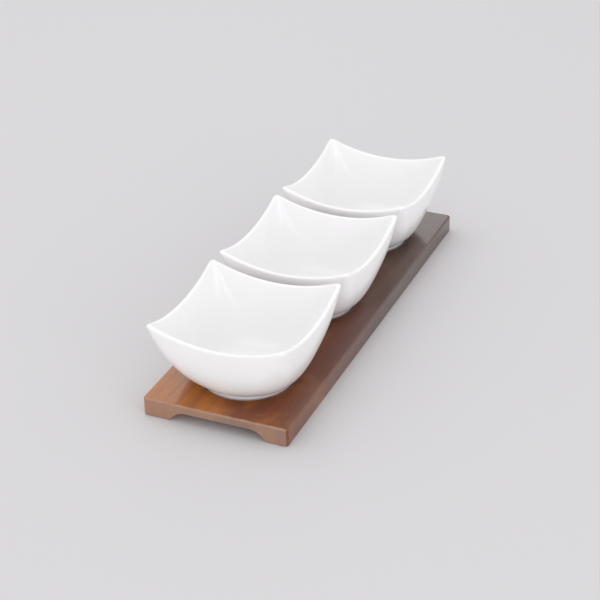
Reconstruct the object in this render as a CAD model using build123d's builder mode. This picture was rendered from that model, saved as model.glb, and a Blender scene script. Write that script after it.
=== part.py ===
from build123d import *
import os
from math import atan2, degrees, sqrt

# Chip and dip server: a lacquered hardwood plank that carries three loose square porcelain bowls.
# Millimetres. +X runs across the plank, +Y along it towards the back, +Z up. The origin is the middle
# of the plank's footprint, on the table.

# ---- Plank: its length and width follow from the row of bowls and these margins ----
end_margin = 4.6  # from the last bowl's side to the plank's end
side_margin = 2.95  # from a bowl's side to the plank's long edge
plank_thickness = 14.5
plank_corner_radius = 3.0  # plan radius of the four upright corners
plank_top_edge = 1.5  # rounding of the top edge
plank_bottom_edge = 0.8  # rounding of the bottom edge

# ---- Finger cuts under the two short ends ----
foot_width = 18.0  # mean width of the flat foot left on each side of a cut
finger_cut_shift = 2.2  # both cuts sit this far off the middle, towards +X
finger_cut_height = 8.3
finger_cut_slope = 8.5  # run of each slanted side between the foot and the full height
finger_cut_depth = 24.0  # how far a cut reaches in from the end face
finger_cut_cove = 4.5  # radius along the inner end of a cut
foot_corner_round = 3.0  # rounding where a slanted side meets the foot
cut_corner_round = 14.0  # rounding where a slanted side meets the top of the cut

# ---- Bowl outside ----
bowl_half_width = 54.2  # centre to the middle of a side, at the rim
bowl_corner_height = 61.4  # foot to the raised corner tips
bowl_rim_dip = 10.6  # how far the middle of a side dips below the tips
bowl_corner_setback = 1.5  # how much the rounding takes off a sharp corner's reach
corner_share = 0.8  # corner radius as a share of the one that straight sides would have
base_overhang = 0.8  # how far the body's lower edge stands out past the foot ring
side_rise_power = 2.5  # the body's profile is a quarter superellipse with these two powers
side_flare_power = 1.64
corner_growth_power = 0.9  # how fast the round body turns square on its way up

# ---- Bowl inside ----
rim_wall = 3.2
bowl_floor_radius = 24.0
bowl_floor_thickness = 4.8
inside_corner_setback = 1.3
inside_rise_power = 2.6
inside_flare_power = 1.9
section_shares = (0.003, 0.03, 0.09, 0.18, 0.3, 0.45, 0.62, 0.8, 1.0)  # of the height, evenly spaced

# ---- Foot ring ----
foot_ring_radius = 35.0
foot_ring_height = 5.3
foot_ring_width = 4.0
foot_ring_neck = 0.7  # how much the ring narrows up to the body, which shows as a groove
foot_ring_edge = 0.8
base_overlap = 0.6  # how far the ring's piece reaches up into the body
underside_recess = 3.0  # height of the bowl's underside within the ring

# ---- Seats ----
seat_depth = 2.6
seat_clearance = 2.2  # radial gap between a foot ring and its seat
seat_edge = 1.0  # rounding of a seat's upper edge
bowl_gap = 10.6  # free width between two bowls' sides

bowl_names = ("bowl_front", "bowl_middle", "bowl_back")
bowl_pitch = 2 * bowl_half_width + bowl_gap
row_length = (len(bowl_names) - 1) * bowl_pitch + 2 * bowl_half_width
plank_length = row_length + 2 * end_margin
plank_width = 2 * bowl_half_width + 2 * side_margin
base_radius = foot_ring_radius + base_overhang
seat_radius = foot_ring_radius + seat_clearance
seat_floor = plank_thickness - seat_depth
first_seat = -(len(bowl_names) - 1) / 2 * bowl_pitch
seat_positions = [first_seat + index * bowl_pitch for index in range(len(bowl_names))]


def rounded_square(half_width, corner_reach):
    """Draws four bowed sides and four tangent corner arcs as one closed outline."""
    straight_sided_radius = (half_width - corner_reach / sqrt(2)) / (1 - 1 / sqrt(2))
    corner_radius = corner_share * straight_sided_radius
    corner_centre = (corner_reach - corner_radius) / sqrt(2)
    gap = half_width - corner_centre
    side_radius = (corner_centre**2 + gap**2 - corner_radius**2) / (2 * (gap - corner_radius))
    side_centre = half_width - side_radius
    turn = degrees(atan2(corner_centre, corner_centre - side_centre))
    for quarter in range(4):
        heading = 90 * quarter
        side_middle = Vector(side_centre, 0).rotate(Axis.Z, heading)
        corner_middle = Vector(corner_centre, corner_centre).rotate(Axis.Z, heading)
        CenterArc(side_middle, side_radius, heading - turn, 2 * turn)
        CenterArc(corner_middle, corner_radius, heading + turn, 90 - 2 * turn)


def bowl_sections(bottom, start_radius, top_half_width, corner_setback, rise_power, flare_power, shares):
    """Level outlines of a body that starts round at the bottom and ends square at the tips' height."""
    sections = []
    height = bowl_corner_height - bottom
    corner_extra = sqrt(2) * top_half_width - corner_setback - top_half_width
    for share in shares:
        flare = (1 - (1 - share) ** rise_power) ** (1 / flare_power)
        half_width = start_radius + (top_half_width - start_radius) * flare
        corner_reach = half_width + corner_extra * share**corner_growth_power
        with BuildSketch(Plane.XY.offset(bottom + height * share)) as section:
            with BuildLine():
                rounded_square(half_width, corner_reach)
            make_face()
        sections.append(section.sketch)
    return sections


# The plank is one board. Its feet are what the finger cuts leave at each short end, and its three
# round seats are routed into the top.
cut_half_width = plank_width / 2 - foot_width
with BuildPart() as finger_cut:
    with BuildSketch(Plane.XZ) as cut_sketch:
        with BuildLine():
            Polyline(
                (-plank_width / 2, -finger_cut_height),
                (-plank_width / 2, 0),
                (-cut_half_width, 0),
                (-cut_half_width + finger_cut_slope, finger_cut_height),
                (cut_half_width - finger_cut_slope, finger_cut_height),
                (cut_half_width, 0),
                (plank_width / 2, 0),
                (plank_width / 2, -finger_cut_height),
                close=True,
            )
        make_face()
        foot_corners = cut_sketch.vertices().filter_by(
            lambda corner: abs(corner.Y) < 0.01 and abs(corner.X) < plank_width / 2 - 0.01
        )
        fillet(foot_corners, foot_corner_round)
        top_corners = cut_sketch.vertices().group_by(Axis.Y)[-1]
        fillet(top_corners, cut_corner_round)
    extrude(amount=finger_cut_depth, both=True)
    fillet(finger_cut.edges().filter_by(Axis.X).group_by(Axis.Z)[-1].sort_by(Axis.Y)[-1], finger_cut_cove)

with BuildPart() as plank:
    with BuildSketch():
        RectangleRounded(plank_width, plank_length, plank_corner_radius)
    extrude(amount=plank_thickness)
    fillet(plank.faces().sort_by(Axis.Z)[-1].edges(), plank_top_edge)
    fillet(plank.faces().sort_by(Axis.Z)[0].edges(), plank_bottom_edge)
    front_end = Location((finger_cut_shift, -plank_length / 2, 0))
    back_end = Location((finger_cut_shift, plank_length / 2, 0), (0, 0, 180))
    with Locations(front_end, back_end):
        add(finger_cut.part, mode=Mode.SUBTRACT)
    with BuildSketch(Plane.XY.offset(plank_thickness)):
        with Locations([(0, seat_y) for seat_y in seat_positions]):
            Circle(seat_radius)
    extrude(amount=-seat_depth, mode=Mode.SUBTRACT)
    seat_rims = plank.edges().filter_by(GeomType.CIRCLE).filter_by(
        lambda edge: abs(edge.radius - seat_radius) < 0.01 and edge.center().Z > seat_floor + 0.01
    )
    fillet(seat_rims, seat_edge)

plank.part.label = "board"

# The bowl is one fired piece: a round foot ring, a body that turns from round to square as it rises,
# an even wall, and a plain-edged rim that climbs along each side to four corner tips.
with BuildPart() as bowl_inside:
    loft(bowl_sections(
        underside_recess + bowl_floor_thickness,
        bowl_floor_radius,
        bowl_half_width - rim_wall,
        inside_corner_setback,
        inside_rise_power,
        inside_flare_power,
        section_shares,
    ))

tip_middle = bowl_half_width - bowl_corner_setback / sqrt(2)
dip_radius = (tip_middle**2 + bowl_rim_dip**2) / (2 * bowl_rim_dip)
with BuildPart() as rim_cut:
    for plane in (Plane.XZ, Plane.YZ):
        with BuildSketch(plane):
            with Locations((0, bowl_corner_height - bowl_rim_dip + dip_radius)):
                Circle(dip_radius)
        extrude(amount=2 * bowl_half_width, both=True)

with BuildPart() as bowl:
    loft(bowl_sections(
        foot_ring_height,
        base_radius,
        bowl_half_width,
        bowl_corner_setback,
        side_rise_power,
        side_flare_power,
        section_shares,
    ))
    with BuildSketch(Plane.XZ):
        with BuildLine():
            Polyline(
                (0, underside_recess),
                (foot_ring_radius - foot_ring_width, underside_recess),
                (foot_ring_radius - foot_ring_width, 0),
                (foot_ring_radius, 0),
                (foot_ring_radius - foot_ring_neck, foot_ring_height),
                (base_radius, foot_ring_height),
                (base_radius, foot_ring_height + base_overlap),
                (0, foot_ring_height + base_overlap),
                close=True,
            )
        make_face()
    revolve(axis=Axis.Z)
    add(bowl_inside.part, mode=Mode.SUBTRACT)
    add(rim_cut.part, mode=Mode.SUBTRACT)
    fillet(bowl.faces().sort_by(Axis.Z)[0].edges(), foot_ring_edge)

os.makedirs("parts", exist_ok=True)
export_step(plank.part, "parts/board.step")
for bowl_name, seat_y in zip(bowl_names, seat_positions):
    with BuildPart() as placed_bowl:
        with Locations((0, seat_y, seat_floor)):
            add(bowl.part)
    placed_bowl.part.label = bowl_name
    export_step(placed_bowl.part, f"parts/{bowl_name}.step")
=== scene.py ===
import bmesh
import bpy
from math import atan2, cos, pi, radians, sin, sqrt
from mathutils import Matrix, Vector


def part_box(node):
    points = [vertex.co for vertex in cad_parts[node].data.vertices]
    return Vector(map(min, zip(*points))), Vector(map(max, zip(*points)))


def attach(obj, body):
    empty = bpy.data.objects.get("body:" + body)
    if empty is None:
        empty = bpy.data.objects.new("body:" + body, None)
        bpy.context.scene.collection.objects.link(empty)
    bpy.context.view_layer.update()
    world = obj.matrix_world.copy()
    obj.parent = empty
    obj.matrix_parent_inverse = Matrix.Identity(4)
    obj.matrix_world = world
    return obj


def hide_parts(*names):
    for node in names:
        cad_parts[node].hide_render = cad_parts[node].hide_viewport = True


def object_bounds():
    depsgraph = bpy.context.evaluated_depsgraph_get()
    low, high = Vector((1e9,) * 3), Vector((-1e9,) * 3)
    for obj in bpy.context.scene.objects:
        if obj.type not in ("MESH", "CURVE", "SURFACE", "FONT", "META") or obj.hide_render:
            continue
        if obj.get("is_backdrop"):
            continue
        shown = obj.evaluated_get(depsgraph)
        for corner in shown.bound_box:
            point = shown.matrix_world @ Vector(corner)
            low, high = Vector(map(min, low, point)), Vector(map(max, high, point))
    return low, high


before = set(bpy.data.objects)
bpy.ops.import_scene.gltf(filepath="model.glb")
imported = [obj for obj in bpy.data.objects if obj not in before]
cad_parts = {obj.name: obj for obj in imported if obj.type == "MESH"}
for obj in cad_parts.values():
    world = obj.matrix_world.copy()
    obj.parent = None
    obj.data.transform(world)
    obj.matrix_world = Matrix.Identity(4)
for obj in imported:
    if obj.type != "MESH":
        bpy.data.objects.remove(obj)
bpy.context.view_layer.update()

scene = bpy.context.scene
bpy.ops.object.select_all(action="DESELECT")

# ---- Camera ----
# A long lens above the front left corner of the board, looking down along the row of bowls.
camera_place = (0.44064, -1.01341, 0.64720)
camera_turn = (radians(60.120), radians(1.184), radians(23.281))
bpy.ops.object.camera_add(location=camera_place, rotation=camera_turn)
camera = bpy.context.object
camera.name = "camera"
camera.data.sensor_width = 36
camera.data.lens = 95.852
camera.data.dof.use_dof = False
scene.camera = camera

# ---- Studio ----
# A pale matt floor that the board stands on, in a white room whose walls are lit more than its
# ceiling. Soft boxes stand in front, low on the right and behind, and one hangs overhead.
floor_size = 12.0
floor_gap = 0.0001  # keeps the floor from sharing a plane with the board's feet
bpy.ops.mesh.primitive_plane_add(size=floor_size, location=(0, 0, -floor_gap))
studio_floor = bpy.context.object
studio_floor.name = "studio_floor"
studio_floor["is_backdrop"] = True

floor_paint = bpy.data.materials.new("floor_paint")
floor_paint.use_nodes = True
floor_shader = floor_paint.node_tree.nodes["Principled BSDF"]
floor_shader.inputs["Base Color"].default_value = (0.670, 0.662, 0.672, 1)
floor_shader.inputs["Roughness"].default_value = 0.9
floor_shader.inputs["Specular IOR Level"].default_value = 0.2
studio_floor.data.materials.append(floor_paint)

scene.view_settings.view_transform = "Standard"


def add_node(tree, kind, inputs=(), **settings):
    """Adds a shader node, sets its options, and fills inputs with values or with links from sockets."""
    node = tree.nodes.new(kind)
    for setting, value in settings.items():
        setattr(node, setting, value)
    for socket, value in dict(inputs).items():
        if isinstance(value, bpy.types.NodeSocket):
            tree.links.new(value, node.inputs[socket])
        else:
            node.inputs[socket].default_value = value
    return node


def remap(tree, value, low, high, new_low=0.0, new_high=1.0, smooth=False):
    """Spreads low..high of a value over new_low..new_high, and holds it at the ends."""
    inputs = {"Value": value, "From Min": low, "From Max": high, "To Min": new_low, "To Max": new_high}
    kind = "SMOOTHSTEP" if smooth else "LINEAR"
    return add_node(tree, "ShaderNodeMapRange", inputs, interpolation_type=kind).outputs[0]


# The walls give this much light at the height of the table, and the ceiling gives this much straight
# overhead. Seen directly, beyond the floor's edge, the room is as pale as the floor.
wall_light, ceiling_light, seen_light = 1.05, 0.86, 0.70
room = bpy.data.worlds.new("white_room")
room.use_nodes = True
room_light = room.node_tree.nodes["Background"]
room_light.inputs["Color"].default_value = (1.0, 0.995, 1.0, 1)
room_side = add_node(room.node_tree, "ShaderNodeTexCoord").outputs["Generated"]
room_height = add_node(room.node_tree, "ShaderNodeSeparateXYZ", {0: room_side}).outputs["Z"]
room_given = remap(room.node_tree, room_height, 0, 1, wall_light, ceiling_light)
room_seen = add_node(room.node_tree, "ShaderNodeLightPath").outputs["Is Camera Ray"]
room_levels = {"Factor": room_seen, "A": room_given, "B": seen_light}
room_strength = add_node(room.node_tree, "ShaderNodeMix", room_levels).outputs[0]
room.node_tree.links.new(room_strength, room_light.inputs["Strength"])
scene.world = room


def soft_box(name, place, aim, size, power):
    """A square soft light at a place, turned to face an aim point and not seen itself."""
    bpy.ops.object.light_add(type="AREA", location=place)
    lamp = bpy.context.object
    lamp.name = name
    lamp.rotation_euler = (Vector(aim) - Vector(place)).to_track_quat("-Z", "Y").to_euler()
    lamp.data.shape = "SQUARE"
    lamp.data.size = size
    lamp.data.energy = power
    lamp.visible_camera = False


soft_box("overhead_box", (-0.45, 0.1, 1.4), (0, 0, 0), 0.8, 2.0)
soft_box("front_box", (0.4, -1.7, 0.45), (0, -0.1, 0.03), 0.8, 2.2)
soft_box("right_box", (1.5, -0.9, 0.45), (0, 0, 0.03), 0.8, 3.2)
soft_box("back_box", (-0.8, 1.9, 1.0), (0, 0.1, 0), 0.9, 1.5)


# ---- Board ----
# One plank of close-grained hardwood, stained red-brown and sprayed with a glossy lacquer. The feet
# and finger cuts at its ends and the three round seats are cut from the same plank.
def math_node(tree, operation, first, second=0.0, third=0.0, clamp=False):
    """One arithmetic node, whose result is returned."""
    inputs = {0: first, 1: second, 2: third}
    return add_node(tree, "ShaderNodeMath", inputs, operation=operation, use_clamp=clamp).outputs[0]


def mix_colour(tree, share, first, second):
    """Mixes two colours by a share, where 0 is the first."""
    node = add_node(tree, "ShaderNodeMix", data_type="RGBA")
    for socket, value in zip((node.inputs[0], node.inputs[6], node.inputs[7]), (share, first, second)):
        if isinstance(value, bpy.types.NodeSocket):
            tree.links.new(value, socket)
        else:
            socket.default_value = value
    return node.outputs[2]


def noise(tree, place, scale, detail=2.0, roughness=0.5, distortion=0.0):
    """A noise pattern's value at a place."""
    inputs = {
        "Vector": place,
        "Scale": scale,
        "Detail": detail,
        "Roughness": roughness,
        "Distortion": distortion,
    }
    return add_node(tree, "ShaderNodeTexNoise", inputs).outputs["Fac"]


def new_group(name, inputs, outputs):
    """An empty node group with named float or vector inputs and float outputs."""
    group = bpy.data.node_groups.new(name, "ShaderNodeTree")
    for socket, kind in inputs:
        group.interface.new_socket(socket, in_out="INPUT", socket_type=kind)
    for socket in outputs:
        group.interface.new_socket(socket, in_out="OUTPUT", socket_type="NodeSocketFloat")
    return group, group.nodes.new("NodeGroupInput"), group.nodes.new("NodeGroupOutput")


# The clear skin of a sprayed lacquer or a fired glaze: it lies in a faint orange-peel ripple, and
# handling leaves patches that shine a little less.
float_kind, vector_kind = "NodeSocketFloat", "NodeSocketVector"
clear_skin, skin_in, skin_out = new_group(
    "clear_skin",
    [("Place", vector_kind), ("Ripple Scale", float_kind), ("Patch Scale", float_kind)],
    ["Ripple", "Dull Patches"],
)
broad_ripple = noise(clear_skin, skin_in.outputs["Place"], skin_in.outputs["Ripple Scale"], 1.0)
patches = noise(clear_skin, skin_in.outputs["Place"], skin_in.outputs["Patch Scale"], 4.0, 0.6, 0.4)
clear_skin.links.new(broad_ripple, skin_out.inputs["Ripple"])
clear_skin.links.new(remap(clear_skin, patches, 0.42, 0.68), skin_out.inputs["Dull Patches"])

board_half_width, board_half_length, board_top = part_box("board")[1]
bowl_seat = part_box("bowl_front")[0].z

lacquered_wood = bpy.data.materials.new("lacquered_wood")
lacquered_wood.use_nodes = True
wood = lacquered_wood.node_tree
wood_shader = wood.nodes["Principled BSDF"]
place = add_node(wood, "ShaderNodeTexCoord").outputs["Object"]

# The grain runs the length of the plank, so every wood pattern is drawn out along Y.
along_grain = add_node(wood, "ShaderNodeMapping", {"Vector": place, "Scale": (1, 0.045, 1)}).outputs[0]
figure_place = add_node(wood, "ShaderNodeMapping", {"Vector": place, "Scale": (1, 0.16, 1)}).outputs[0]
blotch_place = add_node(wood, "ShaderNodeMapping", {"Vector": place, "Scale": (1, 0.55, 1)}).outputs[0]
across, along, height = add_node(wood, "ShaderNodeSeparateXYZ", {"Vector": place}).outputs
broad_stain = noise(wood, figure_place, 26, 2.0, 0.5, 0.3)
blotches = noise(wood, blotch_place, 30, 3.0, 0.55, 0.6)
figure = add_node(
    wood,
    "ShaderNodeTexWave",
    {"Vector": figure_place, "Scale": 26, "Distortion": 7.0, "Detail": 2.0, "Detail Scale": 0.9},
    wave_type="BANDS",
    bands_direction="X",
).outputs["Fac"]
fibres = noise(wood, along_grain, 900, 3.0, 0.65)
streaks = noise(wood, along_grain, 210, 3.0, 0.6, 0.2)
pore_place = add_node(wood, "ShaderNodeMapping", {"Vector": place, "Scale": (1, 0.07, 1)}).outputs[0]
pores = remap(wood, noise(wood, pore_place, 1500, 1.0, 0.4), 0.63, 0.74)

amber_stain = (0.430, 0.140, 0.018, 1)
brown_stain = (0.310, 0.130, 0.052, 1)
red_stain = (0.210, 0.042, 0.016, 1)
# Dark stain for the grain and blotches, also painted as shade inside the seats.
dark_stain_and_shade = (0.075, 0.024, 0.012, 1)
# Dark neutral grey painted at the back right for the lacquer's grey reflection.
painted_sheen_grey = (0.060, 0.042, 0.036, 1)
pore_colour = (0.045, 0.014, 0.008, 1)
# Pale colour of the eased edges: part rubbed wood, part painted highlight.
rubbed_and_highlit_wood = (0.47, 0.25, 0.14, 1)
# Paler, greyer colour painted on the sawn ends as the lacquer's sheen.
painted_end_sheen = (0.36, 0.25, 0.20, 1)
# The stain is lightest and most amber at the front end.
amber = math_node(wood, "MULTIPLY_ADD", broad_stain, -0.10, along)
stain = mix_colour(wood, remap(wood, amber, -0.13, -0.20, smooth=True), brown_stain, amber_stain)
# Redder blotches are thickest towards the right, and darker ones lie all over.
reddened = math_node(wood, "MULTIPLY_ADD", across, 2.0, blotches)
stain = mix_colour(wood, remap(wood, reddened, 0.5, 0.68, 0, 0.8), stain, red_stain)
stain = mix_colour(wood, remap(wood, broad_stain, 0.5, 0.68, 0, 0.5), stain, dark_stain_and_shade)
# Towards the board's back right the wood is painted darker and greyer, the grey a painted stand-in for the
# lacquer's grey reflection there.
grey_sheen_share = math_node(wood, "MULTIPLY_ADD", across, 1.6, along)
grey_sheen_share = math_node(wood, "MULTIPLY_ADD", broad_stain, 0.08, grey_sheen_share)
# Painted grey reflection, darkest at the back right.
stain = mix_colour(wood, remap(wood, grey_sheen_share, -0.02, 0.22, 0, 0.85, smooth=True), stain, painted_sheen_grey)
stain = mix_colour(wood, remap(wood, figure, 0.55, 1.0, 0, 0.16), stain, dark_stain_and_shade)
stain = mix_colour(wood, remap(wood, streaks, 0.5, 0.78, 0, 0.13), stain, dark_stain_and_shade)
stain = mix_colour(wood, remap(wood, fibres, 0.4, 0.75, 0, 0.18), stain, dark_stain_and_shade)
stain = mix_colour(wood, math_node(wood, "MULTIPLY", pores, 0.35), stain, pore_colour)

# The eased edges are paler, partly where the stain is rubbed thin and partly a painted highlight of the
# lacquer, most of all along the ends.
edge_width = 0.0016
from_middle = math_node(wood, "ABSOLUTE", across)
from_centre = math_node(wood, "ABSOLUTE", along)
side_near = remap(wood, from_middle, board_half_width - edge_width, board_half_width)
end_near = remap(wood, from_centre, board_half_length - edge_width, board_half_length)
top_near = remap(wood, height, board_top - edge_width, board_top)
upright_edges = (side_near, end_near, 0.7)
long_edges = (side_near, top_near, 0.3)
end_edges = (end_near, top_near, 1.0)
rubbed_and_highlit = 0.0
for first, second, wear_and_highlight in (upright_edges, long_edges, end_edges):
    both = math_node(wood, "MULTIPLY", first, second)
    rubbed_and_highlit = math_node(wood, "MULTIPLY_ADD", both, wear_and_highlight, rubbed_and_highlit)
rubbed_and_highlit = remap(wood, rubbed_and_highlit, 0.12, 0.45)
wear_and_highlight_patches = remap(wood, noise(wood, place, 160, 3.0, 0.6), 0.4, 0.62, 0.25, 0.9)
rubbed_and_highlit = math_node(wood, "MULTIPLY", rubbed_and_highlit, wear_and_highlight_patches)
# Paler edges: part rubbed wear, part painted highlight.
stain = mix_colour(wood, rubbed_and_highlit, stain, rubbed_and_highlit_wood)

# The sawn ends are painted paler and greyer, a painted sheen of the lacquer, and finish flatter than the
# planed faces.
end_grain = remap(wood, from_centre, board_half_length - 0.0008, board_half_length - 0.0003)
# Painted sheen on the end faces.
stain = mix_colour(wood, math_node(wood, "MULTIPLY", end_grain, 0.6), stain, painted_end_sheen)

# Inside the routed seats the wood is painted darker as shade under the bowls, and the lacquer lies
# thin and dull. The seats lie within these reaches of the board's middle, above the finger cuts and below
# the top.
seat_reach_across, seat_reach_along = 0.045, 0.165
below_top = remap(wood, height, board_top - 0.0002, board_top - 0.0007)
above_cuts = math_node(wood, "GREATER_THAN", height, bowl_seat - 0.0004)
within_across = math_node(wood, "COMPARE", across, 0.0, seat_reach_across)
within_along = math_node(wood, "COMPARE", along, 0.0, seat_reach_along)
in_seat = math_node(wood, "MULTIPLY", below_top, above_cuts)
in_seat = math_node(wood, "MULTIPLY", in_seat, math_node(wood, "MULTIPLY", within_across, within_along))
# Painted shade: the seats' wood is darkened under the bowls.
stain = mix_colour(wood, math_node(wood, "MULTIPLY", in_seat, 0.5), stain, dark_stain_and_shade)
wood.links.new(stain, wood_shader.inputs["Base Color"])

coat_weight, end_dulling, seat_dulling = 0.6, 0.2, 0.4
wood_skin = add_node(wood, "ShaderNodeGroup", node_tree=clear_skin)
wood.links.new(place, wood_skin.inputs["Place"])
wood_skin.inputs["Ripple Scale"].default_value = 330
wood_skin.inputs["Patch Scale"].default_value = 24
wood_rough = remap(wood, wood_skin.outputs["Dull Patches"], 0, 1, 0.15, 0.24)
wood_rough = math_node(wood, "ADD", wood_rough, math_node(wood, "MULTIPLY", end_grain, end_dulling))
wood_rough = math_node(wood, "ADD", wood_rough, math_node(wood, "MULTIPLY", in_seat, seat_dulling))
wood.links.new(wood_rough, wood_shader.inputs["Roughness"])
coat = math_node(wood, "MULTIPLY_ADD", in_seat, -coat_weight, coat_weight)
wood.links.new(coat, wood_shader.inputs["Coat Weight"])
telegraphed = math_node(wood, "MULTIPLY", fibres, 0.5)
lacquer_height = math_node(wood, "ADD", wood_skin.outputs["Ripple"], telegraphed)
lacquer_height = math_node(wood, "SUBTRACT", lacquer_height, math_node(wood, "MULTIPLY", pores, 0.6))
lacquer_relief = {"Height": lacquer_height, "Strength": 0.25, "Distance": 0.0001}
lacquer_bump = add_node(wood, "ShaderNodeBump", lacquer_relief)
wood.links.new(lacquer_bump.outputs[0], wood_shader.inputs["Normal"])
wood_shader.inputs["IOR"].default_value = 1.5
wood_shader.inputs["Specular IOR Level"].default_value = 0.25
wood_shader.inputs["Coat Roughness"].default_value = 0.1

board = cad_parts["board"]
board.data.materials.clear()
board.data.materials.append(lacquered_wood)

# ---- Bowls ----
# Three equal bowls of white porcelain, pressed in a mould and glazed all over but for the foot ring's
# standing edge. Each stands loose in its seat, with its sides in line with the board's.
bowl_foot_low, bowl_tip_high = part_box("bowl_front")
bowl_height = bowl_tip_high.z - bowl_foot_low.z
bowl_half_width = 0.0542
rim_dip = 0.0106
corner_setback = 0.0015
corner_share = 0.8
corner_growth_power = 0.9
rim_wall = 0.0032
rim_crown = 0.0015
tip_softness = 0.005
foot_radius = 0.0350
foot_width = 0.0040
foot_edge = 0.0008
foot_height = 0.0053
foot_neck = 0.0007
groove_fillet = 0.0006
base_overhang = 0.0008
underside_recess = 0.0030
inner_fillet = 0.0009
floor_thickness = 0.0048
floor_height = underside_recess + floor_thickness
floor_radius = 0.0240
side_rise_power, side_flare_power = 2.5, 1.64
inside_rise_power, inside_flare_power = 2.6, 1.9
inside_setback = 0.0013
hub_radius = 0.010  # of the disc that the rings are drawn out from
columns = 144
wall_steps = 30
crown_steps = 10
arc_steps = 5


def outline_radius(half_width, corner_reach, heading):
    """Distance from the bowl's axis to a level outline with four bowed sides and four corner arcs."""
    from_side = abs((heading + pi / 4) % (pi / 2) - pi / 4)
    straight_sided_radius = (half_width - corner_reach / sqrt(2)) / (1 - 1 / sqrt(2))
    corner_radius = corner_share * straight_sided_radius
    corner_centre = (corner_reach - corner_radius) / sqrt(2)
    gap = half_width - corner_centre
    side_radius = (corner_centre**2 + gap**2 - corner_radius**2) / (2 * (gap - corner_radius))
    side_centre = half_width - side_radius
    turn = atan2(corner_centre, corner_centre - side_centre)
    join = atan2(side_radius * sin(turn), side_centre + side_radius * cos(turn))
    if from_side < join:
        centre, radius = Vector((side_centre, 0)), side_radius
    else:
        centre, radius = Vector((corner_centre, corner_centre)), corner_radius
    ray = Vector((cos(from_side), sin(from_side)))
    return centre.dot(ray) + sqrt(radius**2 - (centre.x * ray.y - centre.y * ray.x) ** 2)


def wall_radius(heading, height, bottom, start_radius, top_half_width, setback, rise_power, flare_power):
    """Radius of one skin of the wall, which starts round at the bottom and ends square at the tips."""
    share = (height - bottom) / (bowl_height - bottom)
    flare = (1 - (1 - share) ** rise_power) ** (1 / flare_power)
    half_width = start_radius + (top_half_width - start_radius) * flare
    corner_extra = sqrt(2) * top_half_width - setback - top_half_width
    return outline_radius(half_width, half_width + corner_extra * share**corner_growth_power, heading)


def outer_radius(heading, height):
    """Radius of the outer skin, from the foot ring up."""
    start_radius = foot_radius + base_overhang
    powers = side_rise_power, side_flare_power
    return wall_radius(heading, height, foot_height, start_radius, bowl_half_width, corner_setback, *powers)


def inner_radius(heading, height):
    """Radius of the inner skin, from the bowl's floor up."""
    half_width = bowl_half_width - rim_wall
    powers = inside_rise_power, inside_flare_power
    return wall_radius(heading, height, floor_height, floor_radius, half_width, inside_setback, *powers)


def rim_top(heading):
    """Height of the rim's crest: an arc along each side, with the meeting of two arcs softened at a tip."""
    tip_middle = bowl_half_width - corner_setback / sqrt(2)
    dip_radius = (tip_middle**2 + rim_dip**2) / (2 * rim_dip)
    reach = outline_radius(bowl_half_width, sqrt(2) * bowl_half_width - corner_setback, heading)
    across, along = abs(reach * cos(heading)), abs(reach * sin(heading))
    closeness = max(tip_softness - abs(across - along), 0) / tip_softness
    offset = min(across, along) - closeness**2 * tip_softness / 4
    return bowl_height - rim_dip + dip_radius - sqrt(dip_radius**2 - offset**2)


def level_ring(radius, height):
    """A plain round ring."""
    return lambda heading: (radius, height)


def arc_rings(centre_radius, centre_height, radius, start, end):
    """Round rings that follow an arc of the section, angles in degrees."""
    rings = []
    for step in range(arc_steps + 1):
        angle = radians(start + (end - start) * step / arc_steps)
        rings.append(level_ring(centre_radius + radius * cos(angle), centre_height + radius * sin(angle)))
    return rings


def wall_ring(skin, bottom, rise):
    """A ring part of the way up one skin. Near the bottom, where the wall curves most, they lie closer."""
    def place_at(heading):
        height = bottom + (rim_top(heading) - rim_crown - bottom) * rise**2
        return skin(heading, height), height
    return place_at


def crown_ring(angle):
    """A ring over the rounded crest of the rim, from 0 at the outside to 180 degrees at the inside."""
    def place_at(heading):
        height = rim_top(heading) - rim_crown
        outside, inside = outer_radius(heading, height), inner_radius(heading, height)
        radius = (outside + inside) / 2 + (outside - inside) / 2 * cos(angle)
        return radius, height + rim_crown * sin(angle)
    return place_at


def crowded(heading):
    """Moves an even heading towards the nearest corner of the bowl, where the outline turns fastest."""
    corner = heading // (pi / 2) * (pi / 2) + pi / 4
    share = (heading - corner) / (pi / 4)
    return corner + pi / 4 * share * abs(share)


def put_ring(place_at, spread=None):
    """Puts each selected corner of the mesh at its heading, at the radius and height that place_at gives."""
    mesh = bmesh.from_edit_mesh(bpy.context.edit_object.data)
    for corner in mesh.verts:
        if corner.select:
            heading = atan2(corner.co.y, corner.co.x) % (2 * pi)
            heading = spread(heading) if spread else heading
            radius, height = place_at(heading)
            corner.co = (radius * cos(heading), radius * sin(heading), height)
    bmesh.update_edit_mesh(bpy.context.edit_object.data)


foot_inside = foot_radius - foot_width
rings = [level_ring(2 * hub_radius, underside_recess)]
rings += arc_rings(foot_inside - inner_fillet, underside_recess - inner_fillet, inner_fillet, 90, 0)
rings += arc_rings(foot_inside + foot_edge, foot_edge, foot_edge, 180, 270)
rings += arc_rings(foot_radius - foot_edge, foot_edge, foot_edge, 270, 360)
groove_radius = foot_radius - foot_neck + groove_fillet
rings += arc_rings(groove_radius, foot_height - groove_fillet, groove_fillet, 180, 90)
rings += [wall_ring(outer_radius, foot_height, step / wall_steps) for step in range(wall_steps + 1)]
rings += [crown_ring(pi * step / crown_steps) for step in range(1, crown_steps)]
rings += [wall_ring(inner_radius, floor_height, 1 - step / wall_steps) for step in range(wall_steps + 1)]
rings += [level_ring(0.75 * floor_radius, floor_height), level_ring(0.375 * floor_radius, floor_height)]

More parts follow.
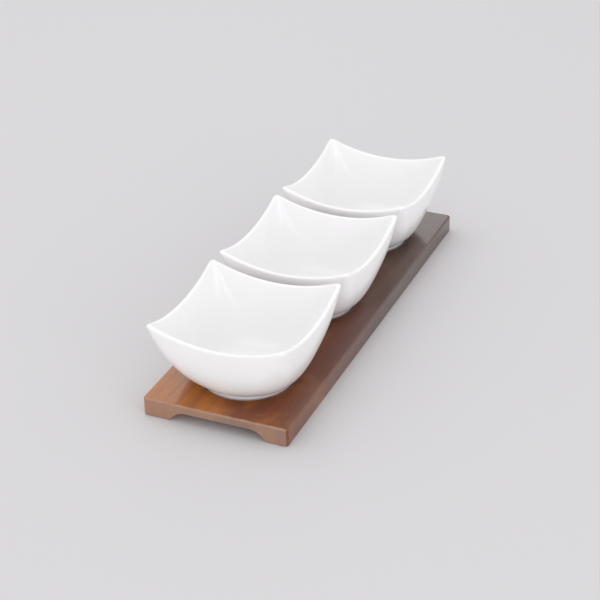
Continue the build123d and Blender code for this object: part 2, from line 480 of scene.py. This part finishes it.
bpy.ops.mesh.primitive_circle_add(vertices=columns, radius=hub_radius, fill_type="TRIFAN")
bowl_form = bpy.context.object
bpy.ops.object.mode_set(mode="EDIT")
bpy.ops.mesh.select_mode(type="VERT")
bpy.ops.mesh.select_all(action="DESELECT")
form_mesh = bmesh.from_edit_mesh(bowl_form.data)
for corner in form_mesh.verts:
    if corner.co.length > hub_radius / 2:
        corner.select = True
    else:
        corner.co.z = underside_recess
form_mesh.select_flush(True)
for face in form_mesh.faces:
    face.select = False
for edge in form_mesh.edges:
    edge.select = all(corner.co.length > hub_radius / 2 for corner in edge.verts)
put_ring(level_ring(hub_radius, underside_recess), crowded)
for ring in rings:
    bpy.ops.mesh.extrude_region_move()
    put_ring(ring)
bpy.ops.mesh.extrude_region_move()
bpy.ops.mesh.merge(type="COLLAPSE")
bpy.ops.mesh.select_all(action="SELECT")
bpy.ops.mesh.normals_make_consistent(inside=False)
bpy.ops.object.mode_set(mode="OBJECT")
smoothing = bowl_form.modifiers.new("smoothing", "SUBSURF")
smoothing.levels = smoothing.render_levels = 1
bpy.ops.object.modifier_apply(modifier=smoothing.name)
bpy.ops.object.shade_smooth()

porcelain = bpy.data.materials.new("porcelain")
porcelain.use_nodes = True
glaze = porcelain.node_tree
glaze_shader = glaze.nodes["Principled BSDF"]
place = add_node(glaze, "ShaderNodeTexCoord").outputs["Object"]
height = add_node(glaze, "ShaderNodeSeparateXYZ", {"Vector": place}).outputs[2]
glaze_skin = add_node(glaze, "ShaderNodeGroup", node_tree=clear_skin)
glaze.links.new(place, glaze_skin.inputs["Place"])
glaze_skin.inputs["Ripple Scale"].default_value = 120
glaze_skin.inputs["Patch Scale"].default_value = 18
thickness = noise(glaze, place, 28, 2.0, 0.5)
thin_glaze, thick_glaze = (0.940, 0.934, 0.940, 1), (0.925, 0.920, 0.925, 1)
white = mix_colour(glaze, remap(glaze, thickness, 0.35, 0.65), thin_glaze, thick_glaze)
# The standing edge of the foot ring is wiped clean of glaze before firing and shows bare clay.
wiped_height = bowl_foot_low.z + 0.0004
wobble = remap(glaze, noise(glaze, place, 240, 2.0), 0.3, 0.7, -0.00015, 0.00015)
bare = remap(glaze, math_node(glaze, "ADD", height, wobble), wiped_height, wiped_height - 0.0001)
speckle = remap(glaze, noise(glaze, place, 2600, 2.0, 0.6), 0.35, 0.7)
pale_clay, dark_clay = (0.72, 0.69, 0.62, 1), (0.60, 0.56, 0.49, 1)
clay = mix_colour(glaze, speckle, pale_clay, dark_clay)
glaze.links.new(mix_colour(glaze, bare, white, clay), glaze_shader.inputs["Base Color"])
glaze_rough = remap(glaze, glaze_skin.outputs["Dull Patches"], 0, 1, 0.10, 0.17)
glaze_rough = math_node(glaze, "ADD", glaze_rough, math_node(glaze, "MULTIPLY", bare, 0.6), clamp=True)
glaze.links.new(glaze_rough, glaze_shader.inputs["Roughness"])
glaze_relief = {"Height": glaze_skin.outputs["Ripple"], "Strength": 0.12, "Distance": 0.0003}
glaze_bump = add_node(glaze, "ShaderNodeBump", glaze_relief)
glaze.links.new(glaze_bump.outputs[0], glaze_shader.inputs["Normal"])
glaze_shader.inputs["IOR"].default_value = 1.5

bowl_form.data.materials.append(porcelain)
for bowl_name in ("bowl_front", "bowl_middle", "bowl_back"):
    low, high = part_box(bowl_name)
    bowl = bowl_form.copy()
    bowl.data = bowl_form.data.copy()
    bowl.name = "porcelain_" + bowl_name
    scene.collection.objects.link(bowl)
    bowl.data.transform(Matrix.Translation(((low.x + high.x) / 2, (low.y + high.y) / 2, low.z)))
    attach(bowl, bowl_name)
    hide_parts(bowl_name)
bpy.data.objects.remove(bowl_form)

low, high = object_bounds()
